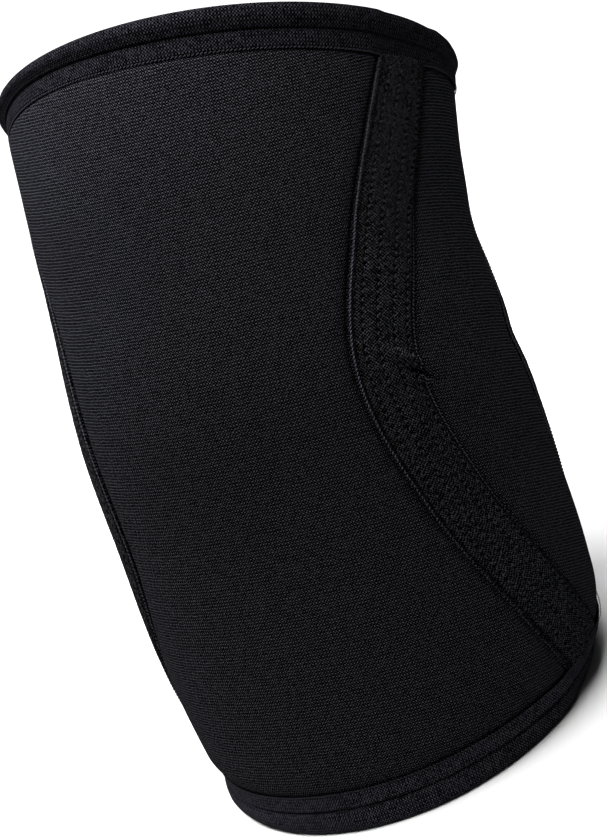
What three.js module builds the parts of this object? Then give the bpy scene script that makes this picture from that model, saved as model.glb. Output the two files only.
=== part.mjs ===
// Elbow sleeve: a bent neoprene tube sewn from four panels, with a tape over each seam and a
// folded binding over each rim. Millimetres, +Z up. It stands on its lower rim, with the point
// of the elbow towards -Y and the crook of the arm towards +Y. X = 0 is its middle plane.
import * as THREE from 'three';

// Driving dimensions
const WALL = 5; // neoprene with its cloth faces
const GAP = 0.3; // clearance between neighbouring pieces
const TAPE_WIDTH = 16;
const TAPE_THICKNESS = 0.9;
const BINDING_WIDTH = 11; // from the rim to the sewn edge, on both faces of the wall
const BINDING_THICKNESS = 1.2;
const FOLD_RADIUS = 2.5; // round of the binding where it turns over the rim
const GROOVE_DEPTH = 0.5; // valley along the binding's row of stitches
const GROOVE_HALF_WIDTH = 1.2;
const GROOVE_FROM_RIM = 6;

// Sections of the outer face at equal steps from the lower rim to the upper one. back and height
// place a section's middle, lean tips its plane towards the crook, in degrees, and width and
// depth are its outer size.
const SECTIONS = [
  { back: 0, height: 0, lean: 0, width: 108, depth: 102 },
  { back: 7, height: 28, lean: 13, width: 118, depth: 100 },
  { back: 15, height: 56, lean: 22, width: 119, depth: 101 },
  { back: 23, height: 84, lean: 30, width: 118, depth: 105 },
  { back: 34, height: 110, lean: 37, width: 113, depth: 107 },
  { back: 47, height: 134, lean: 41, width: 113, depth: 111 },
  { back: 64, height: 156, lean: 43, width: 116, depth: 114 },
];

// Seams at the same steps, in degrees round the sleeve from the ridge of the elbow. The left seam by
// the elbow bows less than the right one.
const SEAMS = [
  { elbow: 93, leftElbow: 93, crook: 150 },
  { elbow: 71, leftElbow: 71, crook: 137 },
  { elbow: 55, leftElbow: 56, crook: 123 },
  { elbow: 49, leftElbow: 56, crook: 116 },
  { elbow: 60, leftElbow: 62, crook: 125 },
  { elbow: 73, leftElbow: 74, crook: 137 },
  { elbow: 83, leftElbow: 83, crook: 147 },
];

// Steps of the faceted solids
const ROWS = 17; // along each panel and tape, between the bindings
const PANEL_STEP = 7; // round the sleeve
const TAPE_COLUMNS = 3;
const BINDING_COLUMNS = 72;

const COLOURS = {
  panel: '#1e1e22',
  tape: '#19191b',
  binding: '#1f1e22',
};
const CLOTH_ROUGHNESS = 0.9;

// Smooth value of one column of a table at a share of the way from the lower rim to the upper
function columnAt(table, column, share) {
  const last = table.length - 1;
  const row = Math.min(Math.floor(share * last), last - 1);
  const t = share * last - row;
  const here = table[row][column];
  const next = table[row + 1][column];
  const before = row > 0 ? table[row - 1][column] : 2 * here - next;
  const after = row + 2 <= last ? table[row + 2][column] : 2 * next - here;
  const slope = (next - before) / 2;
  const nextSlope = (after - here) / 2;
  const rise = next - here;
  const bend = 3 * rise - 2 * slope - nextSlope;
  const twist = slope + nextSlope - 2 * rise;
  return here + t * (slope + t * (bend + t * twist));
}

// Point at a share along the sleeve and an angle round it, lifted off the outer face
function facePoint(share, angle, lift) {
  const lean = THREE.MathUtils.degToRad(columnAt(SECTIONS, 'lean', share));
  const across = (columnAt(SECTIONS, 'width', share) / 2 + lift) * Math.sin(angle);
  const inward = -(columnAt(SECTIONS, 'depth', share) / 2 + lift) * Math.cos(angle);
  const back = columnAt(SECTIONS, 'back', share) + inward * Math.cos(lean);
  const height = columnAt(SECTIONS, 'height', share) - inward * Math.sin(lean);
  return new THREE.Vector3(across, back, height);
}

// Length on the outer face for a unit of share, and for a unit of angle
const PROBE = 0.01;

function lengthPerShare(share, angle) {
  const low = Math.max(share - PROBE, 0);
  const high = Math.min(share + PROBE, 1);
  return facePoint(low, angle, 0).distanceTo(facePoint(high, angle, 0)) / (high - low);
}

function lengthPerAngle(share, angle) {
  const low = facePoint(share, angle - PROBE, 0);
  const high = facePoint(share, angle + PROBE, 0);
  return low.distanceTo(high) / (2 * PROBE);
}

// Share of the place at a distance from one of the rims
function shareFromRim(isUpper, angle, distance) {
  const rim = isUpper ? 1 : 0;
  const share = distance / lengthPerShare(rim, angle);
  return isUpper ? 1 - share : share;
}

// Angle of a seam on one of the sides
function seamAngle(seam, side, share) {
  return side * THREE.MathUtils.degToRad(columnAt(SEAMS, seam, share));
}

// Angle that spans a width measured square to a seam, which crosses the sleeve aslant
function angleForWidth(seam, share, width) {
  const low = Math.max(share - PROBE, 0);
  const high = Math.min(share + PROBE, 1);
  const turn = (seamAngle(seam, 1, high) - seamAngle(seam, 1, low)) / (high - low);
  const angle = seamAngle(seam, 1, share);
  const around = lengthPerAngle(share, angle);
  const slant = (turn * around) / lengthPerShare(share, angle);
  return (width / around) * Math.hypot(1, slant);
}

// Solid through a row of closed loops with equal counts of points. A ring of loops closes on
// itself. Otherwise the first and last loops are capped across, from each point to its opposite.
// Each four-sided face is split along its shorter diagonal, which follows the curve more closely.
function loft(loops, isRing) {
  const count = loops[0].length;
  const points = loops.flat();
  const index = [];
  const quad = (a, b, c, d) => {
    if (points[a].distanceTo(points[c]) < points[b].distanceTo(points[d])) {
      index.push(a, b, c, a, c, d);
    } else {
      index.push(a, b, d, b, c, d);
    }
  };
  const joins = isRing ? loops.length : loops.length - 1;
  for (let i = 0; i < joins; i += 1) {
    const here = i * count;
    const next = ((i + 1) % loops.length) * count;
    for (let k = 0; k < count; k += 1) {
      const after = (k + 1) % count;
      quad(here + k, here + after, next + after, next + k);
    }
  }
  if (!isRing) {
    const top = (loops.length - 1) * count;
    for (let k = 0; k < count / 2 - 1; k += 1) {
      const opposite = count - 1 - k;
      quad(k + 1, k, opposite, opposite - 1);
      quad(top + k, top + k + 1, top + opposite - 1, top + opposite);
    }
  }
  const geometry = new THREE.BufferGeometry().setFromPoints(points);
  geometry.setIndex(index);
  geometry.computeVertexNormals();
  return geometry;
}

// Shares of the rows of a strip at one place across it: rows at given distances from the lower
// rim, then even steps, then rows at the same distances from the upper rim
function rowShares(lowerAngle, upperAngle, fromRim) {
  const lower = fromRim.map((distance) => shareFromRim(false, lowerAngle, distance));
  const upper = fromRim.map((distance) => shareFromRim(true, upperAngle, distance));
  const start = lower.at(-1);
  const end = upper.at(-1);
  const between = [];
  for (let step = 1; step < ROWS; step += 1) {
    between.push(THREE.MathUtils.lerp(start, end, step / ROWS));
  }
  return [...lower, ...between, ...upper.reverse()];
}

// Strip of the wall between two lifts. angleAt gives the angle at a fraction of the way across the
// strip and a share along the sleeve, and fromRim the distances of the rows next to the rims.
function strip(columns, angleAt, fromRim, topLift, underLift) {
  const tops = [];
  const unders = [];
  for (let column = 0; column <= columns; column += 1) {
    const across = column / columns;
    const shares = rowShares(angleAt(across, 0), angleAt(across, 1), fromRim);
    const line = (lift) => shares.map((share) => facePoint(share, angleAt(across, share), lift));
    tops.push(line(topLift));
    unders.unshift(line(underLift));
  }
  const lines = [...tops, ...unders];
  const loops = lines[0].map((_, row) => lines.map((line) => line[row]));
  return loft(loops, false);
}

// Panel from one seam to the next one round the sleeve
function panel(fromSeam, fromSide, toSeam, toSide) {
  const angleAt = (across, share) => {
    const start = seamAngle(fromSeam, fromSide, share) + angleForWidth(fromSeam, share, GAP / 2);
    let end = seamAngle(toSeam, toSide, share) - angleForWidth(toSeam, share, GAP / 2);
    if (end < start) {
      end += 2 * Math.PI;
    }
    return THREE.MathUtils.lerp(start, end, across);
  };
  const widthAt = (share) => (angleAt(1, share) - angleAt(0, share)) * lengthPerAngle(share, 0);
  const widest = Math.max(widthAt(0), widthAt(0.5), widthAt(1));
  const columns = Math.ceil(widest / PANEL_STEP);
  return strip(columns, angleAt, [BINDING_THICKNESS + GAP, BINDING_WIDTH], 0, -WALL);
}

// Tape centred on a seam, on the outer face between the two bindings
function tape(seam, side) {
  const angleAt = (across, share) => {
    const offset = angleForWidth(seam, share, (across - 0.5) * TAPE_WIDTH);
    return seamAngle(seam, side, share) + offset;
  };
  return strip(TAPE_COLUMNS, angleAt, [BINDING_WIDTH + GAP], GAP + TAPE_THICKNESS, GAP);
}

// Outline of a binding's section: x is the lift off the outer face, y the distance from the rim
function bindingProfile() {
  const outside = GAP + BINDING_THICKNESS;
  const inside = -WALL - outside;
  const groove = outside - GROOVE_DEPTH;
  const quarter = Math.PI / 2;
  const shape = new THREE.Shape();
  shape.moveTo(GAP, BINDING_WIDTH);
  shape.lineTo(outside, BINDING_WIDTH);
  shape.lineTo(outside, GROOVE_FROM_RIM + GROOVE_HALF_WIDTH);
  shape.lineTo(groove, GROOVE_FROM_RIM);
  shape.lineTo(outside, GROOVE_FROM_RIM - GROOVE_HALF_WIDTH);
  shape.absarc(outside - FOLD_RADIUS, FOLD_RADIUS, FOLD_RADIUS, 0, -quarter, true);
  shape.absarc(inside + FOLD_RADIUS, FOLD_RADIUS, FOLD_RADIUS, -quarter, -2 * quarter, true);
  shape.lineTo(inside, BINDING_WIDTH);
  shape.lineTo(-WALL - GAP, BINDING_WIDTH);
  shape.lineTo(-WALL - GAP, BINDING_THICKNESS);
  shape.lineTo(GAP, BINDING_THICKNESS);
  const arcDivisions = 1; // an arc takes two segments for each division
  return shape.getPoints(arcDivisions);
}

// Binding folded over one of the rims
function binding(isUpper) {
  const profile = bindingProfile();
  if (isUpper) {
    profile.reverse();
  }
  const loops = [];
  for (let column = 0; column < BINDING_COLUMNS; column += 1) {
    const angle = (2 * Math.PI * column) / BINDING_COLUMNS;
    loops.push(profile.map(({ x, y }) => facePoint(shareFromRim(isUpper, angle, y), angle, x)));
  }
  return loft(loops, true);
}

function addPiece(group, name, geometry, colour) {
  const material = new THREE.MeshStandardMaterial({
    color: colour,
    roughness: CLOTH_ROUGHNESS,
    metalness: 0,
  });
  const mesh = new THREE.Mesh(geometry, material);
  mesh.name = name;
  group.add(mesh);
}

// Sides round the sleeve: the angle grows towards +X
const RIGHT = 1;
const LEFT = -1;

const sleeve = new THREE.Group();
addPiece(sleeve, 'elbow_panel', panel('leftElbow', LEFT, 'elbow', RIGHT), COLOURS.panel);
addPiece(sleeve, 'side_panel_right', panel('elbow', RIGHT, 'crook', RIGHT), COLOURS.panel);
addPiece(sleeve, 'side_panel_left', panel('crook', LEFT, 'leftElbow', LEFT), COLOURS.panel);
addPiece(sleeve, 'crook_panel', panel('crook', RIGHT, 'crook', LEFT), COLOURS.panel);
addPiece(sleeve, 'elbow_tape_right', tape('elbow', RIGHT), COLOURS.tape);
addPiece(sleeve, 'elbow_tape_left', tape('leftElbow', LEFT), COLOURS.tape);
addPiece(sleeve, 'crook_tape_right', tape('crook', RIGHT), COLOURS.tape);
addPiece(sleeve, 'crook_tape_left', tape('crook', LEFT), COLOURS.tape);
addPiece(sleeve, 'lower_binding', binding(false), COLOURS.binding);
addPiece(sleeve, 'upper_binding', binding(true), COLOURS.binding);

// The origin is under the middle of the sleeve's box, on the surface that it stands on
const box = new THREE.Box3().setFromObject(sleeve);
sleeve.position.y = -(box.min.y + box.max.y) / 2;

export default sleeve;
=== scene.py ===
"""Looks of the elbow sleeve: knit panels, sewn seam tapes and folded bindings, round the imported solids."""
import math

import bpy
import numpy as np
from mathutils import Matrix, Vector


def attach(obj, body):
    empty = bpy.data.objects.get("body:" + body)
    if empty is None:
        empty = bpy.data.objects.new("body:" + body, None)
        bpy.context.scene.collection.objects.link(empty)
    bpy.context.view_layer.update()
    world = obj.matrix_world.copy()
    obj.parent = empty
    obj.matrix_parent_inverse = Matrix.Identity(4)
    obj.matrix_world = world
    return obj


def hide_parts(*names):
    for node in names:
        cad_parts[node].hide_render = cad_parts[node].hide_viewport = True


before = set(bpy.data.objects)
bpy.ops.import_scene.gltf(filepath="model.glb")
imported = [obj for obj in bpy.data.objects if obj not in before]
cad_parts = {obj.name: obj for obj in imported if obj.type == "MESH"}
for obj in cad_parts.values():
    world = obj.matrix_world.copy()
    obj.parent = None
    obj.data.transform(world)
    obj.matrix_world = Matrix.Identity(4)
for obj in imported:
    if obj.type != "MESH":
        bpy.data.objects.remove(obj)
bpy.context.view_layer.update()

# Sizes are in millimetres until a mesh is made, and meshes are in metres
MM = 0.001

# The sleeve, as in the solids
WALL = 5.0  # neoprene with its cloth faces
GAP = 0.3
TAPE_WIDTH = 16.0

# Sections of the outer face at equal steps from the lower rim to the upper one. back and height
# place a section's middle, lean tips its plane towards the crook, in degrees.
SECTIONS = {
    "back": [0, 7, 15, 23, 34, 47, 64],
    "height": [0, 28, 56, 84, 110, 134, 156],
    "lean": [0, 13, 22, 30, 37, 41, 43],
    "width": [108, 118, 119, 118, 113, 113, 116],
    "depth": [102, 100, 101, 105, 107, 111, 114],
}
# Seams at the same steps, in degrees round the sleeve from the ridge of the elbow
SEAMS = {
    "elbow": [93, 71, 55, 49, 60, 73, 83],
    "left_elbow": [93, 71, 56, 56, 62, 74, 83],
    "crook": [150, 137, 123, 116, 125, 137, 147],
}
# The seams on the right and on the left that each pair of tapes covers
PAIRS = {"elbow": ("elbow", "left_elbow"), "crook": ("crook", "crook")}
MEAN_RADIUS = 56.0

# Soft shape of the wall
SEAM_DIP = 0.7  # the tapes press into the foam
DIP_REACH = 4.0
SEAM_CREVICE = (1.3, 0.65)  # depth and reach of the panels' fall beside the tapes, at the bend
CREVICE_AT_RIMS = 0.5  # share of that depth which is left at the rims
CREVICE_OFFSET = 0.3  # deepest place of a crevice, from the edge of the tape or binding
DRAW_REACH = 1.5  # stretch of wall that the rims draw in, in widths of the binding
BEND_SHARE = 0.52
BEND_SPREAD = 0.25
WAVER = 0.25  # slow unevenness of the cloth
WAVER_SPAN = 26.0
WAVER_START = 40  # cell of the noise at the ridge
PLEAT_SHARE = 0.49  # gathered cloth in the right elbow tape, at the bend
PLEAT_SLANT = 0.5
# Forms of the pleat: height, then place and spread up the tape, then both inwards from its edge
PLEAT = {
    "notch": (-2.0, 0.0, 0.8, 0.0, 4.0),
    "fold": (1.5, 2.7, 1.4, 3.0, 5.5),
    "lip": (0.9, -1.6, 1.1, 0.0, 3.0),
}
# Hollows of the side panels: depth, share of the way up and spread of each
HOLLOWS = [(0.9, 0.72, 0.05), (0.9, 0.53, 0.04), (-0.6, 0.1, 0.04)]
HOLLOW_ANGLE = math.radians(105)
HOLLOW_TURN = math.radians(30)

# Knit of the panels
COURSE_PITCH = 0.81
WALE_PITCH = 0.75
MIDDLE_COURSE = 0.3  # share at which the courses run level round the sleeve
# Slopes of the courses against the level ones
ELBOW_SLOPE = 0.045
SIDE_SLOPE = 0.17
PANEL_STEP = 1.4
SEAM_COLUMNS = [0.0, 2.5, 5.0, 6.5, 7.3, 7.8, 8.2, 8.6, 9.1, 9.7, 10.4, 11.2, 12.0]  # from a seam
RIM_ROWS = [1.5, 4.0, 6.5, 8.5, 9.5, 10.0, 10.3, 10.6, 11.0, 11.5, 12.2, 13.1, 14.2]  # from a rim
SEWN_ROW = 10.0  # row at the sewn edge of the binding, whatever its width

# Tapes
TAPE_UNDERSIDE = 0.07  # above the panels
TAPE_LIFT = 0.12  # foot of the rounded edges, above the panels
TAPE_THICKNESS = 0.9
TAPE_ROUND = 0.9  # rounded stretch at each edge
TAPE_ARCH = 0.5
TAPE_STEP_ACROSS = 0.27
TAPE_STEP_ALONG = 0.36
TAPE_EDGE = [6.8, 7.0, 7.15, 7.3, 7.45, 7.6, 7.8, 7.93, 8.0]  # columns near an edge, from the middle
TAPE_UNEVENNESS = 0.05
TAPE_CELL = 0.9  # of the noise that makes the tape uneven
TAPE_START = 30  # cell of that noise at the middle of the tape
STITCH_ROWS = [-5.0, -1.5, 2.6, 6.1]  # from the middle of the tape, towards the crook
STITCH_PITCH = 2.0
STITCH_STAGGER = 0.3  # shift from row to row, in pitches
STITCH_LENGTH = 0.8
STITCH_RADIUS = 0.17
STITCH_RISE = 0.05  # of the middle of a stitch above the channel's floor
STITCH_DIVE = 0.2  # of the ends of a stitch below its middle
CHANNEL_DEPTH = 0.16
CHANNEL_WIDTH = 0.6
PIT_DEPTH = 1.0
PIT_WIDTH = 0.35
PIT_SHARPNESS = 3
EDGE_CHANNEL = 7.3  # dark channel under the overcast threads, from the middle of the tape
EDGE_CHANNEL_DEPTH = 0.45
EDGE_CHANNEL_WIDTH = 0.25
OVERCAST_PITCH = 1.0
OVERCAST_RADIUS = 0.2
OVERCAST_INSET = 0.2  # from the edge of the tape
OVERCAST_REACH = 1.0
OVERCAST_SLANT = 0.4
OVERCAST_RISE = 0.05
OVERCAST_DIVE = 0.15
CORD_LIFT = 0.9  # at the bend
CORD_SINK = 0.75  # how much lower the cords lie at the rims
CORD_RADIUS = 0.2
CORD_OVERHANG = 0.1  # past the edge of the tape
CORD_SLANT = 0.5
CORD_DIVE = 0.1

# Threads
THREAD_STATIONS = 6
THREAD_SIDES = 5
THREAD_TAPER = 1.02  # a little over 1, so that the ends keep some width

# Bindings. width is from the rim to the sewn edge and groove from the rim to the stitched groove at
# the front, an angle in degrees, and rise is past the plain rim. The pairs hold a mean and how much
# more it is on the left of the ridge: loss is how much narrower the band is on both sides of the front,
# tuck is how far the sewn edge draws the wall in, over a stretch of reach, draw the same for the rim,
# flange and roll are the lifts of the cloth on both sides of the groove, cord is how high the cord lies
# above the flange, and crevice is how deep the panel falls beside the edge, over a stretch of fall.
RIMS = {
    "lower": {
        "front": 22, "width": 10.8, "groove": 6.5, "rise": 0.0, "reach": 6.0, "fall": 1.0,
        "loss": (3.1, 0.0), "tuck": (0.6, 0.6), "draw": (1.3, -0.2), "flange": (0.65, -0.25),
        "roll": (0.8, 0.3), "crevice": (0.45, 0.1), "cord": (0.1, -0.25),
    },
    "upper": {
        "front": 50, "width": 10.9, "groove": 6.4, "rise": 0.25, "reach": 18.0, "fall": 0.6,
        "loss": (3.2, -0.9), "tuck": (-0.35, -0.35), "draw": (0.0, 0.0), "flange": (0.2, -0.3),
        "roll": (1.8, 0.25), "crevice": (1.1, 0.0), "cord": (-0.05, -0.05),
    },
}
LEFT_OF_RIDGE = math.radians(-55)
LOSS_SHARE = {"width": 1.0, "groove": 0.85}
GROOVE_DEPTH = 0.6
FLANGE_THICKNESS = 0.9
RIM_FLAT = (-1.0, -4.0)  # lifts between which the rim is flat
BINDING_COLUMNS = 430
BINDING_STITCH_PITCH = 2.5
BINDING_STITCH_LENGTH = 1.9
BINDING_STITCH_RISE = 0.12
BINDING_CORD_PITCH = 1.0
BINDING_CORD_TURN = 0.9  # length of thread seen in each turn of the cord
BINDING_CORD_RADIUS = 0.18
BINDING_CORD_OVERHANG = 0.6
BINDING_CORD_SLANT = 0.55
RUCK = 0.07  # waves of the cloth between the stitches
RUCK_REACH = 1.3
SLACK = 0.12  # slow unevenness of the cloth
SLACK_CELLS = (5.0, 4.0)  # of its noise, round the sleeve and from the rim
SLACK_SHIFT = 3  # cells from the noise of the lower binding to that of the upper one
SLACK_FADE = 2.0  # stretch of lift over which the outside turns into the inside
CALM_RIM = 0.5  # nearer to the rim the cloth lies flat

# Materials
CLOTH_ROUGHNESS = 0.9
CLOTH_SPECULAR = 0.0
NOISE_DETAIL = 2.0
TAPE_LOOP = (0.85, 0.8)  # pitches across and along
TAPE_SPECK = (0.38, 0.45)
BINDING_LOOP = (0.8, 0.9)
BINDING_SPECK = (0.4, 0.45)
THREAD_TWIST = 0.5
STITCH_TONE = 1.3
TAPE_CORD_TONE = 2.0
BINDING_CORD_TONE = 1.0
# The two bindings are one cloth: the upper one's lower tone is painted shade, and the lower one's tone is
# the cloth's own.
LOWER_BINDING_TONE = 1.0
UPPER_BINDING_SHADE = 0.48

SEED = 7


def column_at(values, share):
    """Smooth value of one column of a table at a share of the way from the lower rim to the upper."""
    values = np.asarray(values, float)
    last = len(values) - 1
    first_end = 2 * values[0] - values[1]
    last_end = 2 * values[-1] - values[-2]
    extended = np.concatenate([[first_end], values, [last_end]])
    place = np.asarray(share, float) * last
    row = np.clip(np.floor(place).astype(int), 0, last - 1)
    t = place - row
    before, here, following, after = (extended[row + k] for k in range(4))
    slope = (following - before) / 2
    next_slope = (after - here) / 2
    rise = following - here
    curve = 3 * rise - 2 * slope - next_slope
    twist = slope + next_slope - 2 * rise
    return here + t * (slope + t * (curve + t * twist))


def rim_middle():
    """Y of the middle of the lower rim, from the flat underside that the sleeve stands on."""
    touch = 1e-6
    points = [v.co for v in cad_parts["lower_binding"].data.vertices]
    on_floor = [p.y for p in points if p.z < touch]
    return (min(on_floor) + max(on_floor)) / 2 / MM


RIM_MIDDLE = rim_middle()


def face_point(share, angle, lift):
    """Point at a share along the sleeve and an angle round it, lifted off the plain outer face."""
    lean = np.radians(column_at(SECTIONS["lean"], share))
    across = (column_at(SECTIONS["width"], share) / 2 + lift) * np.sin(angle)
    inward = -(column_at(SECTIONS["depth"], share) / 2 + lift) * np.cos(angle)
    back = RIM_MIDDLE + column_at(SECTIONS["back"], share) + inward * np.cos(lean)
    height = column_at(SECTIONS["height"], share) - inward * np.sin(lean)
    return np.stack(np.broadcast_arrays(across, back, height), axis=-1)


def distance(a, b):
    return np.linalg.norm(a - b, axis=-1)


PROBE = 0.01


def length_per_share(share, angle):
    """Length along the outer face for a unit of share."""
    low = np.maximum(share - PROBE, 0)
    high = np.minimum(share + PROBE, 1)
    return distance(face_point(low, angle, 0), face_point(high, angle, 0)) / (high - low)


def length_per_angle(share, angle):
    """Length round the outer face for a unit of angle."""
    low = face_point(share, angle - PROBE, 0)
    high = face_point(share, angle + PROBE, 0)
    return distance(low, high) / (2 * PROBE)


def share_from_rim(is_upper, angle, from_rim):
    """Share of the place at a distance from one of the rims."""
    rim = np.ones_like(angle) if is_upper else np.zeros_like(angle)
    share = from_rim / length_per_share(rim, angle)
    return 1 - share if is_upper else share


def length_along(share, angle):
    """Length on the outer face from the level course to a place, at a constant angle."""
    steps = 24
    span = (share - MIDDLE_COURSE) / steps
    middles = [MIDDLE_COURSE + span * (k + 0.5) for k in range(steps)]
    return sum(length_per_share(middle, angle) for middle in middles) * span


def seam_angle(seam, share):
    return np.radians(column_at(SEAMS[seam], share))


def angle_per_mm(seam, share):
    """Angle that spans a millimetre square to a seam, which crosses the sleeve aslant."""
    low = np.maximum(share - PROBE, 0)
    high = np.minimum(share + PROBE, 1)
    turn = (seam_angle(seam, high) - seam_angle(seam, low)) / (high - low)
    angle = seam_angle(seam, share)
    around = length_per_angle(share, angle)
    slant = turn * around / length_per_share(share, angle)
    return np.hypot(1, slant) / around


def turned(angle):
    """Angle from the ridge of the elbow, the same on both sides."""
    return np.abs((angle + np.pi) % (2 * np.pi) - np.pi)


def seam_offset(pair, share, angle):
    """Distance from the nearer of a pair of seams, square to it, towards the crook."""
    right, left = PAIRS[pair]
    is_right = np.sin(angle) > 0
    middle = np.where(is_right, seam_angle(right, share), seam_angle(left, share))
    scale = np.where(is_right, angle_per_mm(right, share), angle_per_mm(left, share))
    return (turned(angle) - middle) / scale


def ease(t):
    """Smooth step from 0 to 1."""
    t = np.clip(t, 0, 1)
    return t * t * (3 - 2 * t)


def bell(t):
    return np.exp(-t * t)


def lattice_noise(x, y, seed):
    """Smooth seeded noise from -1 to 1 with a cell of one unit, which repeats every 128 cells."""
    cells = 128
    table = np.random.default_rng(seed).uniform(-1, 1, (cells, cells))
    column = np.floor(x).astype(int)
    row = np.floor(y).astype(int)
    s = ease(x - column)
    t = ease(y - row)
    left = column % cells
    right = (column + 1) % cells
    low = row % cells
    high = (row + 1) % cells
    below = table[low, left] * (1 - s) + table[low, right] * s
    above = table[high, left] * (1 - s) + table[high, right] * s
    return below * (1 - t) + above * t


def uneven(pair, angle):
    """Value round the sleeve from its mean and what it gains on the left of the ridge."""
    mean, gain = pair
    return mean + gain * np.cos(angle - LEFT_OF_RIDGE)


def narrowed(rim, key, angle):
    """Width or groove of a binding, narrower on both sides of its front."""
    loss = uneven(rim["loss"], angle) * LOSS_SHARE[key]
    return rim[key] - loss * np.sin(angle - math.radians(rim["front"])) ** 4


def from_rims(share, angle):
    """Lengths from the two rims."""
    return {
        "lower": share * length_per_share(np.zeros_like(share), angle),
        "upper": (1 - share) * length_per_share(np.ones_like(share), angle),
    }


def swell(share, angle):
    """How far the soft wall stands off the plain face."""
    lift = np.zeros_like(share)
    calm = np.ones_like(share)
    for name, from_rim in from_rims(share, angle).items():
        rim = RIMS[name]
        width = narrowed(rim, "width", angle)
        past = from_rim - width
        near = np.minimum(from_rim / width, 1 - past / rim["reach"])
        lift = lift - uneven(rim["tuck"], angle) * ease(near)
        lift = lift - uneven(rim["draw"], angle) * ease(1 - from_rim / (DRAW_REACH * width))
        calm = calm * ease(past / rim["reach"])
    for pair in PAIRS:
        beside = np.abs(seam_offset(pair, share, angle)) - TAPE_WIDTH / 2
        lift = lift - SEAM_DIP * ease(1 - beside / DIP_REACH)
    for depth, middle, spread in HOLLOWS:
        hollow = bell((share - middle) / spread) * bell((turned(angle) - HOLLOW_ANGLE) / HOLLOW_TURN)
        lift = lift - depth * hollow
    column = angle * MEAN_RADIUS / WAVER_SPAN + WAVER_START
    row = length_along(share, angle) / WAVER_SPAN + WAVER_START
    slow = lattice_noise(column, row, SEED)
    return lift + pleat(share, angle) + WAVER * slow * calm


def pleat(share, angle):
    """Gathered cloth in the right elbow tape: a notch in its edge, a fold above and a lip below."""
    inside = TAPE_WIDTH / 2 - seam_offset("elbow", share, angle)
    above = (share - PLEAT_SHARE) * length_per_share(share, angle) - PLEAT_SLANT * inside
    lift = np.zeros_like(share)
    for height, up, up_spread, inward, inward_spread in PLEAT.values():
        lift = lift + height * bell((above - up) / up_spread) * bell((inside - inward) / inward_spread)
    return lift * (np.sin(angle) > 0)


def bend(share):
    """1 at the bend of the elbow and less towards the rims."""
    return bell((share - BEND_SHARE) / BEND_SPREAD)


def crevice(share, angle):
    """Depth to which the panels fall beside the tapes and the bindings."""
    fall = np.zeros_like(share)
    bend_depth, reach = SEAM_CREVICE
    seam_depth = bend_depth * (CREVICE_AT_RIMS + (1 - CREVICE_AT_RIMS) * bend(share))
    for pair in PAIRS:
        beside = np.abs(seam_offset(pair, share, angle)) - TAPE_WIDTH / 2
        fall = np.maximum(fall, seam_depth * bell((beside - CREVICE_OFFSET) / reach))
    for name, from_rim in from_rims(share, angle).items():
        rim = RIMS[name]
        past = from_rim - narrowed(rim, "width", angle)
        depth = uneven(rim["crevice"], angle)
        fall = np.maximum(fall, depth * bell(np.maximum(past - CREVICE_OFFSET, 0) / rim["fall"]))
    return fall


def soft_point(share, angle, lift):
    """Point on the soft sleeve, lifted off its outer face."""
    share, angle = np.broadcast_arrays(np.asarray(share, float), np.asarray(angle, float))
    return face_point(share, angle, lift + swell(share, angle))


def soft_normal(share, angle):
    """Direction out of the wall."""
    out = soft_point(share, angle, 1.0) - soft_point(share, angle, 0.0)
    return out / np.linalg.norm(out, axis=-1, keepdims=True)


def volume(points, faces):
    """Signed volume of a closed mesh."""
    total = 0.0
    for size in set(len(face) for face in faces):
        corners = points[np.array([face for face in faces if len(face) == size])]
        for k in range(1, size - 1):
            crossed = np.cross(corners[:, k], corners[:, k + 1])
            total += np.einsum("ij,ij->", corners[:, 0], crossed)
    return total / 6


def add_mesh(name, points, faces, cloth, material):
    """Smooth mesh object from points in millimetres and each face corner's place on the flat cloth."""
    if volume(points, faces) < 0:
        faces = [face[::-1] for face in faces]
        cloth = [place[::-1] for place in cloth]
    mesh = bpy.data.meshes.new(name)
    mesh.from_pydata((points * MM).tolist(), [], faces)
    mesh.shade_smooth()
    places = np.concatenate([np.asarray(place, np.float32) for place in cloth])
    layer = mesh.attributes.new("cloth", "FLOAT_VECTOR", "CORNER")
    layer.data.foreach_set("vector", np.pad(places, ((0, 0), (0, 1))).ravel())
    mesh.materials.append(material)
    piece = bpy.data.objects.new(name, mesh)
    bpy.context.scene.collection.objects.link(piece)
    return piece


def loft(loops, places, is_ring):
    """Closed mesh through a row of closed loops. places runs one step on where the loops close."""
    rows, count = loops.shape[:2]
    joins = rows if is_ring else rows - 1
    faces = []
    cloth = []
    for i in range(joins):
        here = i * count
        following = (i + 1) % rows * count
        for k in range(count):
            after = (k + 1) % count
            faces.append([here + k, here + after, following + after, following + k])
            cloth.append(places[[i, i, i + 1, i + 1], [k, k + 1, k + 1, k]])
    if not is_ring:
        last = (rows - 1) * count
        faces.append(list(range(count))[::-1])
        cloth.append(places[0, :count][::-1])
        faces.append(list(range(last, last + count)))
        cloth.append(places[rows - 1, :count])
    return loops.reshape(-1, 3), faces, cloth


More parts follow.
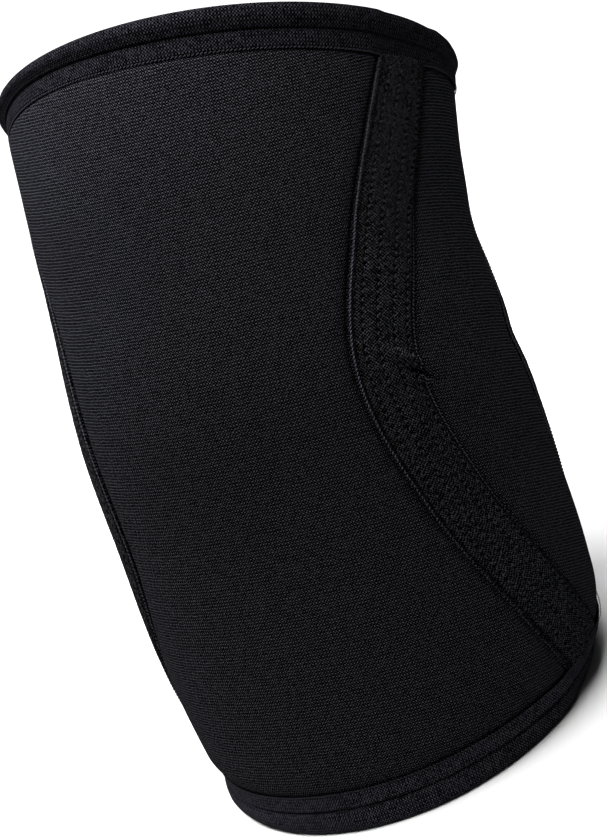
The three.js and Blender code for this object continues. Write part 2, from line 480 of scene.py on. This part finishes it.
def tubes(centres, normals, radii, sides):
    """Closed tubes round rows of centres, as one mesh. Each station has its own radius."""
    tangents = np.gradient(centres, axis=1)
    tangents = tangents / np.linalg.norm(tangents, axis=-1, keepdims=True)
    side = np.cross(tangents, normals)
    side = side / np.linalg.norm(side, axis=-1, keepdims=True)
    up = np.cross(side, tangents)
    turns = np.arange(sides) * 2 * np.pi / sides
    spokes = side[:, :, None] * np.cos(turns)[:, None] + up[:, :, None] * np.sin(turns)[:, None]
    loops = centres[:, :, None] + spokes * radii[None, :, None, None]
    stations = centres.shape[1]
    places = np.zeros((stations + 1, sides + 1, 2))
    places[..., 0] = np.arange(sides + 1) / sides
    places[..., 1] = np.arange(stations + 1)[:, None]
    points = []
    faces = []
    cloth = []
    for tube in loops:
        start = len(points) * stations * sides
        tube_points, tube_faces, tube_cloth = loft(tube, places, False)
        points.append(tube_points)
        faces.extend([[start + corner for corner in face] for face in tube_faces])
        cloth.extend(tube_cloth)
    return np.concatenate(points), faces, cloth


class Shader:
    """Short way to add and link the nodes of a cloth material."""

    def __init__(self, name):
        self.material = bpy.data.materials.new(name)
        self.material.use_nodes = True
        self.tree = self.material.node_tree
        self.surface = self.tree.nodes["Principled BSDF"]
        self.place = self.add("ShaderNodeAttribute", attribute_name="cloth").outputs["Vector"]
        split = self.add("ShaderNodeSeparateXYZ", inputs={"Vector": self.place})
        self.across = split.outputs["X"]
        self.along = split.outputs["Y"]

    def add(self, kind, inputs=None, **settings):
        node = self.tree.nodes.new(kind)
        for key, value in settings.items():
            setattr(node, key, value)
        for key, value in (inputs or {}).items():
            self.plug(node.inputs[key], value)
        return node

    def plug(self, socket, value):
        if isinstance(value, bpy.types.NodeSocket):
            self.tree.links.new(value, socket)
        else:
            socket.default_value = value

    def math(self, operation, a, b=0.0):
        node = self.add("ShaderNodeMath", {0: a, 1: b}, operation=operation)
        return node.outputs["Value"]

    def sum(self, *terms):
        """Weighted sum of pairs of weight and socket."""
        total = None
        for weight, socket in terms:
            term = self.math("MULTIPLY", socket, weight)
            total = term if total is None else self.math("ADD", total, term)
        return total

    def wave(self, place, pitch):
        """Cosine along a coordinate."""
        return self.math("COSINE", self.math("MULTIPLY", place, 2 * math.pi / pitch))

    def noise(self, span):
        """Noise from -1 to 1 on the cloth with features of a given span."""
        inputs = {"Vector": self.place, "Scale": 1 / span, "Detail": NOISE_DETAIL}
        value = self.add("ShaderNodeTexNoise", inputs, noise_dimensions="2D").outputs["Fac"]
        return self.sum((2.0, self.math("SUBTRACT", value, 0.5)))

    def wander(self, place, reach, span):
        """Coordinate that strays to both sides, so that rows don't run straight."""
        return self.math("ADD", place, self.sum((reach, self.noise(span))))

    def speckle(self, across_pitch, along_pitch):
        """Random value from -1 to 1 for each stitch of a knit."""
        column = self.math("ROUND", self.math("DIVIDE", self.across, across_pitch))
        row = self.math("ROUND", self.math("DIVIDE", self.along, along_pitch))
        cell = self.add("ShaderNodeCombineXYZ", {"X": column, "Y": row}).outputs["Vector"]
        noise = self.add("ShaderNodeTexWhiteNoise", {"Vector": cell}, noise_dimensions="2D")
        return self.sum((2.0, self.math("SUBTRACT", noise.outputs["Value"], 0.5)))

    def colour(self, height, stops, tone=1.0):
        """Colour for a height from -1 to 1: painted shade makes the pits and other low places near black,
        rising to the cloth's full tone on the crowns.
        """
        share = self.sum((0.5, self.math("ADD", height, 1.0)))
        ramp = self.add("ShaderNodeValToRGB", {"Fac": share})
        elements = ramp.color_ramp.elements
        positions, colours = zip(*stops)
        elements[0].position = positions[0]
        elements[1].position = positions[-1]
        for position in positions[1:-1]:
            elements.new(position)
        for element, colour in zip(elements, colours):
            element.color = (*(part * tone for part in colour), 1)
        self.plug(self.surface.inputs["Base Color"], ramp.outputs["Color"])

    def bump(self, height, depth):
        inputs = {"Strength": 1.0, "Distance": depth * MM, "Height": height}
        bump = self.add("ShaderNodeBump", inputs)
        self.plug(self.surface.inputs["Normal"], bump.outputs["Normal"])

    def finish(self):
        self.plug(self.surface.inputs["Roughness"], CLOTH_ROUGHNESS)
        self.plug(self.surface.inputs["Specular IOR Level"], CLOTH_SPECULAR)
        return self.material


def knit_material():
    """Fine jersey: courses round the sleeve and wales along it, with uneven stitches."""
    shader = Shader("knit_face")
    across = shader.wander(shader.across, 0.25, 2.2)
    along = shader.wander(shader.along, 0.25, 1.8)
    course = shader.wave(along, COURSE_PITCH)
    loops = shader.math("MULTIPLY", course, shader.wave(across, WALE_PITCH))
    loop = shader.speckle(WALE_PITCH / 2, COURSE_PITCH / 2)
    height = shader.sum((0.33, course), (0.82, loops), (0.16, loop))
    # Painted shade: the knit's low places fall to near black for the shade in its pits, on top of the yarn's
    # own uneven tone.
    stops = [
        (0.25, (0.0001, 0.0001, 0.0002)),
        (0.5, (0.0018, 0.0018, 0.0023)),
        (0.95, (0.048, 0.048, 0.057)),
    ]
    shader.colour(height, stops)
    shader.bump(height, 0.12)
    return shader.finish()


def tape_material():
    """Stretch tape with a looped face, whose rows wander."""
    shader = Shader("tape_face")
    across = shader.wander(shader.across, 0.3, 1.3)
    along = shader.wander(shader.along, 0.4, 1.7)
    loops = shader.math("MULTIPLY", shader.wave(across, TAPE_LOOP[0]), shader.wave(along, TAPE_LOOP[1]))
    speck = shader.speckle(*TAPE_SPECK)
    height = shader.sum((0.7, loops), (0.32, speck), (0.1, shader.noise(3.0)))
    # Painted shade: the low places between the loops fall to near black for their shade, on top of the
    # yarn's own uneven tone.
    stops = [
        (0.25, (0.0002, 0.0002, 0.0002)),
        (0.5, (0.002, 0.002, 0.0022)),
        (0.9, (0.04, 0.04, 0.045)),
    ]
    shader.colour(height, stops)
    shader.bump(loops, 0.1)
    return shader.finish()


def binding_material(name, tone):
    """Stretch cloth with fine ribs across the band, made of small loops."""
    shader = Shader(name)
    rib = shader.wave(shader.across, BINDING_LOOP[0])
    loops = shader.math("MULTIPLY", rib, shader.wave(shader.along, BINDING_LOOP[1]))
    speck = shader.speckle(*BINDING_SPECK)
    height = shader.sum((0.3, rib), (0.8, loops), (0.3, speck), (0.1, shader.noise(2.4)))
    # Painted shade: the low places between the loops fall to near black for their shade, on top of the
    # cloth's own uneven tone.
    stops = [
        (0.25, (0.0003, 0.0003, 0.0005)),
        (0.5, (0.0045, 0.0043, 0.0058)),
        (0.95, (0.056, 0.055, 0.068)),
    ]
    shader.colour(height, stops, tone)
    shader.bump(height, 0.1)
    return shader.finish()


def thread_material(name, tone):
    """Twisted sewing thread."""
    shader = Shader(name)
    height = shader.sum((0.5, shader.wave(shader.along, THREAD_TWIST)), (0.5, shader.noise(0.6)))
    # Painted shade: the low places of the twist are darker for their shade.
    stops = [
        (0.2, (0.006, 0.006, 0.0075)),
        (0.8, (0.05, 0.049, 0.062)),
    ]
    shader.colour(height, stops, tone)
    shader.bump(height, 0.05)
    return shader.finish()


def fit_piece(piece, slot, *nodes):
    """Rides a piece on the sleeve and hides the solids that it stands for. Its slot is not used."""
    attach(piece, "root")
    if nodes:
        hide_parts(*nodes)


def between(near, step, span):
    """Places along a row: pairs of the share of the way between the two ends, and millimetres past it."""
    count = int(span / step)
    middle = [(k / count, near[-1] * (1 - 2 * k / count)) for k in range(1, count)]
    return [(0.0, d) for d in near] + middle + [(1.0, -d) for d in near[::-1]]


def panel(node, from_seam, from_side, to_seam, to_side, slope, material):
    """Foam panel with knit faces, from one seam to the next one round the sleeve."""
    def edge(seam, side, share, inset):
        return side * seam_angle(seam, share) + inset * angle_per_mm(seam, share)

    def angle_at(column, past, share):
        scale = angle_per_mm(from_seam, share) * (1 - column) + angle_per_mm(to_seam, share) * column
        start = edge(from_seam, from_side, share, GAP / 2)
        end = edge(to_seam, to_side, share, -GAP / 2)
        end = np.where(end < start, end + 2 * np.pi, end)
        return start + (end - start) * column + past * scale

    half = np.array([0.5])
    span = float(angle_at(1.0, 0.0, half)[0] - angle_at(0.0, 0.0, half)[0]) * MEAN_RADIUS
    column, past_seam = np.array(between(SEAM_COLUMNS, PANEL_STEP, span)).T
    middle = angle_at(0.5, 0.0, half)
    length = float(length_per_share(half, middle)[0])
    row, past_rim = np.array(between(RIM_ROWS, PANEL_STEP, length)).T[..., None]
    under = np.clip(past_rim, -SEWN_ROW, SEWN_ROW)
    low = angle_at(column, past_seam, np.zeros_like(column))
    high = angle_at(column, past_seam, np.ones_like(column))
    from_low = past_rim - under + under / SEWN_ROW * narrowed(RIMS["lower"], "width", low)
    from_high = past_rim - under + under / SEWN_ROW * narrowed(RIMS["upper"], "width", high)
    low_shift = share_from_rim(False, low, from_low)
    high_shift = 1 - share_from_rim(True, high, from_high)
    share = row + low_shift * (1 - row) + high_shift * row
    angle = angle_at(column, past_seam, share)
    outer = soft_point(share, angle, -crevice(share, angle))
    inner = soft_point(share, angle, -WALL)
    course = length_along(share, angle) + slope * angle * MEAN_RADIUS
    place = np.stack([angle * MEAN_RADIUS, course], axis=-1)
    loops = np.concatenate([outer, inner[:, ::-1]], axis=1)
    places = np.concatenate([place, place[:, ::-1], place[:, :1]], axis=1)
    piece = add_mesh(f"{node}_knit", *loft(loops, places, False), material)
    fit_piece(piece, "neoprene_knit", node)


class Tape:
    """Places on a tape that covers a seam, by millimetres across it and a share of its length."""

    def __init__(self, seam, side):
        self.seam = seam
        self.side = side
        middle = np.zeros(200)
        line = soft_point(*self.place(middle, np.linspace(0, 1, 200)), 0.0)
        self.length = distance(line[1:], line[:-1]).sum()

    def angle(self, across, share):
        return self.side * (seam_angle(self.seam, share) + across * angle_per_mm(self.seam, share))

    def place(self, across, up):
        """Share along the sleeve and angle round it."""
        across, up = np.broadcast_arrays(across, up)
        low = self.angle(across, np.zeros_like(up))
        high = self.angle(across, np.ones_like(up))
        start = share_from_rim(False, low, narrowed(RIMS["lower"], "width", low) + GAP)
        end = share_from_rim(True, high, narrowed(RIMS["upper"], "width", high) + GAP)
        share = start + (end - start) * up
        return share, self.angle(across, share)


def tape_level(across):
    """Lift of the tape's face off the wall without its relief: arched, with rounded edges."""
    half = TAPE_WIDTH / 2
    bevel = np.clip((np.abs(across) - (half - TAPE_ROUND)) / TAPE_ROUND, 0, 1)
    crown = np.sqrt(1 - bevel ** 2)
    return TAPE_LIFT + TAPE_THICKNESS * crown + TAPE_ARCH * np.clip(1 - (across / half) ** 2, 0, 1)


def tape_relief(across, along):
    """Height of the tape's face off its level: uneven cloth, sewn channels and needle pits."""
    relief = TAPE_UNEVENNESS * lattice_noise(across / TAPE_CELL + TAPE_START, along / TAPE_CELL, SEED + 1)
    for row, middle in enumerate(STITCH_ROWS):
        off = across - middle
        phase = 2 * np.pi * (along / STITCH_PITCH + STITCH_STAGGER * row)
        pit = ((1 + np.cos(phase)) / 2) ** PIT_SHARPNESS
        relief = relief - CHANNEL_DEPTH * bell(off / CHANNEL_WIDTH)
        relief = relief - PIT_DEPTH * pit * bell(off / PIT_WIDTH)
    return relief - EDGE_CHANNEL_DEPTH * bell((np.abs(across) - EDGE_CHANNEL) / EDGE_CHANNEL_WIDTH)


def tape(node, seam, side, material, stitch, thread):
    """Stretch tape on a panel, with rounded edges, rows of stitches and overcast edges."""
    strip = Tape(seam, side)
    half = TAPE_WIDTH / 2
    inner = TAPE_EDGE[0] - TAPE_STEP_ACROSS
    middle = np.linspace(-inner, inner, int(2 * inner / TAPE_STEP_ACROSS) + 1)
    across = np.concatenate([-np.array(TAPE_EDGE[::-1]), middle, TAPE_EDGE])
    up = np.linspace(0, 1, int(strip.length / TAPE_STEP_ALONG) + 1)[:, None]
    share, angle = strip.place(across[None, :], up)
    along = up * strip.length + 0 * across
    off_edge = ease((half - np.abs(across)) / (half - EDGE_CHANNEL))
    face = soft_point(share, angle, tape_level(across) + tape_relief(across + 0 * up, along) * off_edge)
    under_across = np.linspace(half, -half, 5)
    inset = 0.97
    share, angle = strip.place(inset * under_across[None, :], up)
    underside = soft_point(share, angle, TAPE_UNDERSIDE)
    loops = np.concatenate([face, underside], axis=1)
    spread = np.concatenate([across, under_across, across[:1]])
    places = np.stack(np.broadcast_arrays(spread[None, :], up * strip.length), axis=-1)
    band = add_mesh(f"{node}_band", *loft(loops, places, False), material)
    stitches = tape_stitches(f"{node}_stitches", strip, stitch)
    overcast = tape_overcast(f"{node}_overcast", strip, material)
    cord = tape_cord(f"{node}_cord", strip, thread)
    sewing = [stitches, overcast, cord]
    fit_piece(band, "seam_tape", node)
    for piece in sewing:
        fit_piece(piece, "seam_tape")


def threads(name, rows, radius, material):
    """Short threads with tapered ends, from rows of shares, angles and lifts."""
    share, angle, lift = (np.concatenate(part) for part in zip(*rows))
    stations = np.linspace(-1, 1, share.shape[1])
    radii = radius * np.sqrt(THREAD_TAPER - stations ** 2)
    mesh = tubes(soft_point(share, angle, lift), soft_normal(share, angle), radii, THREAD_SIDES)
    return add_mesh(name, *mesh, material)


def tape_stitches(name, strip, material):
    """Short threads that lie in the channels and dive into the pits."""
    stations = np.linspace(-1, 1, THREAD_STATIONS)
    rows = []
    for row, across in enumerate(STITCH_ROWS):
        count = int(strip.length / STITCH_PITCH) - 1
        middles = (np.arange(count) + 0.5 - STITCH_STAGGER * row) * STITCH_PITCH
        middles = middles[(middles > STITCH_PITCH) & (middles < strip.length - STITCH_PITCH)]
        along = middles[:, None] + stations * STITCH_LENGTH / 2
        lift = tape_level(across) - CHANNEL_DEPTH + STITCH_RISE - STITCH_DIVE * stations ** 2
        rows.append((*strip.place(np.full_like(along, across), along / strip.length), lift + 0 * along))
    return threads(name, rows, STITCH_RADIUS, material)


def overcast_starts(strip):
    """Lengths along a tape at which the overcast threads of an edge start."""
    count = int(strip.length / OVERCAST_PITCH) - 1
    return (np.arange(count)[:, None] + 0.5) * OVERCAST_PITCH


def tape_overcast(name, strip, material):
    """Bars of thread across the channels along the two edges of a tape."""
    stations = np.linspace(0, 1, THREAD_STATIONS)
    across = TAPE_WIDTH / 2 - OVERCAST_INSET - OVERCAST_REACH * stations
    along = overcast_starts(strip) + OVERCAST_SLANT * stations
    lift = tape_level(across) + OVERCAST_RISE - OVERCAST_DIVE * (2 * stations - 1) ** 4 + 0 * along
    rows = [(*strip.place(edge * across, along / strip.length), lift) for edge in (-1, 1)]
    return threads(name, rows, OVERCAST_RADIUS, material)


def tape_cord(name, strip, material):
    """Twisted cords of thread along the two edges of a tape."""
    stations = np.linspace(0, 1, THREAD_STATIONS)
    across = TAPE_WIDTH / 2 + CORD_OVERHANG - CORD_SLANT * stations
    along = overcast_starts(strip) + OVERCAST_PITCH * stations
    rows = []
    for edge in (-1, 1):
        share, angle = strip.place(edge * across, along / strip.length)
        lift = CORD_LIFT - CORD_SINK * (1 - bend(share)) - CORD_DIVE * (2 * stations - 1) ** 2
        rows.append((share, angle, lift))
    return threads(name, rows, CORD_RADIUS, material)


def round_corners(points, times):
    """Closed outline with its corners cut off again and again."""
    for _ in range(times):
        following = np.roll(points, -1, axis=0)
        cut = [0.75 * points + 0.25 * following, 0.25 * points + 0.75 * following]
        points = np.stack(cut, axis=1).reshape(-1, 2)
    return points


def binding_section(rim, angle):
    """Section of a binding at an angle: lift off the wall's outer face, and distance from the rim."""
    width = narrowed(rim, "width", angle)
    groove = narrowed(rim, "groove", angle)
    flange = uneven(rim["flange"], angle)
    roll = uneven(rim["roll"], angle)
    shoulder = flange + 0.3 * max(roll - flange, 0)
    middle = (width + groove) / 2
    crown = 0.45 * groove
    under = flange - FLANGE_THICKNESS
    inner = -WALL - 0.25
    inside = inner - 1.0
    edge = -rim["rise"]
    corners = [
        # Flange, from the sewn edge to the groove
        (under, width),
        (flange, width),
        (flange, width - 0.5),
        (flange + 0.1, middle),
        (flange, groove + 0.6),
        (flange - 0.1, groove + 0.3),
        # Groove
        (flange - GROOVE_DEPTH, groove + 0.12),
        (flange - GROOVE_DEPTH, groove - 0.12),
        # Roll, from the groove to the rim
        (shoulder - 0.1, groove - 0.4),
        (shoulder + 0.1, groove - 0.8),
        (roll, crown + 0.8),
        (roll, crown - 0.6),
        (roll - 0.75, edge + 0.5),
        # Rim
        (RIM_FLAT[0] + 0.8, edge),
        (RIM_FLAT[0], edge),
        (RIM_FLAT[1], edge),
        (RIM_FLAT[1] - 0.8, edge),
        # Inside of the sleeve
        (inside + 0.1, edge + 0.5),
        (inside - 0.4, crown),
        (inside, groove - 1.2),
        (inside + 0.8, groove),
        (inside, groove + 1.2),
        (inside, middle + 1.0),
        (inside + 0.2, width),
        # Round the edge of the foam
        (inner, width),
        (inner, middle),
        (inner, 1.3),
        (under, 1.3),
        (under, middle),
    ]
    return round_corners(np.array(corners), 2)


def binding(node, is_upper, material, thread):
    """Strip of cloth folded over a rim, with its stitched groove and corded edge."""
    rim = RIMS["upper" if is_upper else "lower"]
    angle = (np.arange(BINDING_COLUMNS) * 2 * np.pi / BINDING_COLUMNS)[:, None]
    sections = np.stack([binding_section(rim, turn) for turn in angle[:, 0]])
    lift = sections[..., 0]
    from_rim = sections[..., 1]
    around = angle * MEAN_RADIUS
    girth = 2 * np.pi * MEAN_RADIUS
    stitches = int(girth / BINDING_STITCH_PITCH)
    past_groove = from_rim - narrowed(rim, "groove", angle)
    ruck = RUCK * np.cos(stitches * angle) * bell(past_groove / RUCK_REACH)
    noise_column = around / SLACK_CELLS[0]
    noise_row = from_rim / SLACK_CELLS[1] + SLACK_SHIFT * is_upper
    slack = SLACK * lattice_noise(noise_column, noise_row, SEED + 2)
    outside = ease((lift + WALL / 2) / SLACK_FADE)
    off_rim = np.where(from_rim > CALM_RIM, 1.0, 0.0)
    share = share_from_rim(is_upper, angle + np.zeros_like(from_rim), from_rim)
    loops = soft_point(share, angle, lift + (ruck + slack) * outside * off_rim)
    steps = distance(sections[0], np.roll(sections[0], -1, axis=0))
    along = np.concatenate([[0], np.cumsum(steps)])
    columns = np.arange(BINDING_COLUMNS + 1)[:, None] * girth / BINDING_COLUMNS
    places = np.stack(np.broadcast_arrays(columns, along[None, :]), axis=-1)
    fold = add_mesh(f"{node}_fold", *loft(loops, places, True), material)
    row = binding_stitches(f"{node}_stitches", is_upper, rim, stitches, material)
    cord = binding_cord(f"{node}_cord", is_upper, rim, thread)
    fit_piece(fold, "binding_cloth", node)
    fit_piece(row, "binding_cloth")
    fit_piece(cord, "binding_cloth")


def binding_cord(name, is_upper, rim, material):
    """Twisted cord of thread along the sewn edge of a binding."""
    stations = np.linspace(0, 1, THREAD_STATIONS)
    count = int(2 * np.pi * MEAN_RADIUS / BINDING_CORD_PITCH)
    starts = np.arange(count) * 2 * np.pi / count
    angle = starts[:, None] + BINDING_CORD_TURN * stations / MEAN_RADIUS
    from_rim = narrowed(rim, "width", angle) + BINDING_CORD_OVERHANG - BINDING_CORD_SLANT * stations
    lift = uneven(rim["flange"], angle) + uneven(rim["cord"], angle) - CORD_DIVE * (2 * stations - 1) ** 2
    share = share_from_rim(is_upper, angle, from_rim)
    return threads(name, [(share, angle, lift)], BINDING_CORD_RADIUS, material)


def binding_stitches(name, is_upper, rim, count, material):
    """Row of stitches in the groove of a binding."""
    stations = np.linspace(-1, 1, THREAD_STATIONS)
    middles = (np.arange(count) + 0.5) * 2 * np.pi / count
    angle = middles[:, None] + stations * BINDING_STITCH_LENGTH / 2 / MEAN_RADIUS
    share = share_from_rim(is_upper, angle, narrowed(rim, "groove", angle))
    lift = uneven(rim["flange"], angle) - GROOVE_DEPTH + BINDING_STITCH_RISE - STITCH_DIVE * stations ** 2
    return threads(name, [(share, angle, lift)], STITCH_RADIUS, material)


RIGHT = 1
LEFT = -1


def build_sleeve():
    knit = knit_material()
    panel("elbow_panel", "left_elbow", LEFT, "elbow", RIGHT, ELBOW_SLOPE, knit)
    panel("side_panel_right", "elbow", RIGHT, "crook", RIGHT, SIDE_SLOPE, knit)
    panel("side_panel_left", "crook", LEFT, "left_elbow", LEFT, -SIDE_SLOPE, knit)
    panel("crook_panel", "crook", RIGHT, "crook", LEFT, 0.0, knit)
    tape_face = tape_material()
    stitch = thread_material("stitch_thread", STITCH_TONE)
    tape_thread = thread_material("tape_thread", TAPE_CORD_TONE)
    for pair, (right, left) in PAIRS.items():
        tape(f"{pair}_tape_right", right, RIGHT, tape_face, stitch, tape_thread)
        tape(f"{pair}_tape_left", left, LEFT, tape_face, stitch, tape_thread)
    binding_thread = thread_material("binding_thread", BINDING_CORD_TONE)
    lower_face = binding_material("lower_binding_face", LOWER_BINDING_TONE)
    binding("lower_binding", False, lower_face, binding_thread)
    # The same cloth as the lower binding, painted darker as painted shade.
    shaded_upper_face = binding_material("upper_binding_shaded_face", UPPER_BINDING_SHADE)
    binding("upper_binding", True, shaded_upper_face, binding_thread)


# Stage and camera
VIEW_AZIMUTH = 31.9  # degrees
VIEW_ELEVATION = 24.5
VIEW_ROLL = 28.1
VIEW_DISTANCE = 770.0
VIEW_AIM = (0.0, 20.0, 79.9)  # from the middle of the lower rim
FOCAL_PIXELS = 3000.0
IMAGE_HEIGHT = 837.0  # pixels, the long side
SENSOR = 36.0
CLIP_END = 100.0  # metres
FLOOR_SIZE = 40000.0
FLOOR_TONE = 0.75
FLOOR_ROUGHNESS = 0.9
FLOOR_SPECULAR = 0.1
SKY_STRENGTH = 0.03
# Soft boxes: width, watts and offset from the middle of the sleeve, in metres
SOFT_BOXES = {
    "top": (0.36, 4.75, (-0.02, 0.0, 0.34)),
    "left": (0.2, 3.4, (-0.42, 0.08, 0.3)),
    "back": (0.5, 7.5, (-1.0, 0.65, 0.35)),
    "far": (0.6, 9.0, (-0.3, 1.1, 0.6)),
}


def view_axes():
    """Directions to the right and up in the picture, and back to the camera."""
    azimuth = math.radians(VIEW_AZIMUTH)
    elevation = math.radians(VIEW_ELEVATION)
    roll = math.radians(VIEW_ROLL)
    level = math.cos(elevation)
    back = Vector((math.sin(azimuth) * level, -math.cos(azimuth) * level, math.sin(elevation)))
    right = Vector((math.cos(azimuth), math.sin(azimuth), 0))
    up = back.cross(right)
    turned_right = right * math.cos(roll) - up * math.sin(roll)
    turned_up = right * math.sin(roll) + up * math.cos(roll)
    return turned_right, turned_up, back


def aim_point():
    return (Vector(VIEW_AIM) + Vector((0, RIM_MIDDLE, 0))) * MM


def add_camera():
    right, up, back = view_axes()
    data = bpy.data.cameras.new("camera")
    data.sensor_width = SENSOR
    data.lens = FOCAL_PIXELS / IMAGE_HEIGHT * SENSOR
    data.clip_end = CLIP_END
    camera = bpy.data.objects.new("camera", data)
    turn = Matrix((right, up, back)).transposed().to_4x4()
    camera.matrix_world = Matrix.Translation(aim_point() + back * VIEW_DISTANCE * MM) @ turn
    bpy.context.scene.collection.objects.link(camera)
    bpy.context.scene.camera = camera


def add_soft_box(name, width, power, offset):
    """Square light that faces the middle of the sleeve."""
    offset = Vector(offset)
    data = bpy.data.lights.new(name, "AREA")
    data.size = width
    data.energy = power
    light = bpy.data.objects.new(name, data)
    light.location = aim_point() + offset
    light.rotation_mode = "QUATERNION"
    light.rotation_quaternion = (-offset).to_track_quat("-Z", "Y")
    bpy.context.scene.collection.objects.link(light)


def add_stage():
    scene = bpy.context.scene
    scene.view_settings.view_transform = "Standard"
    world = bpy.data.worlds.new("studio")
    world.use_nodes = True
    background = world.node_tree.nodes["Background"]
    background.inputs["Color"].default_value = (1, 1, 1, 1)
    background.inputs["Strength"].default_value = SKY_STRENGTH
    scene.world = world
    half = FLOOR_SIZE / 2 * MM
    corners = [(-half, -half, 0), (half, -half, 0), (half, half, 0), (-half, half, 0)]
    mesh = bpy.data.meshes.new("floor")
    mesh.from_pydata(corners, [], [(0, 1, 2, 3)])
    paper = bpy.data.materials.new("pale_paper")
    paper.use_nodes = True
    surface = paper.node_tree.nodes["Principled BSDF"]
    surface.inputs["Base Color"].default_value = (FLOOR_TONE, FLOOR_TONE, FLOOR_TONE, 1)
    surface.inputs["Roughness"].default_value = FLOOR_ROUGHNESS
    surface.inputs["Specular IOR Level"].default_value = FLOOR_SPECULAR
    mesh.materials.append(paper)
    floor = bpy.data.objects.new("floor", mesh)
    scene.collection.objects.link(floor)
    for name, box in SOFT_BOXES.items():
        add_soft_box(name, *box)


add_camera()
build_sleeve()
add_stage()
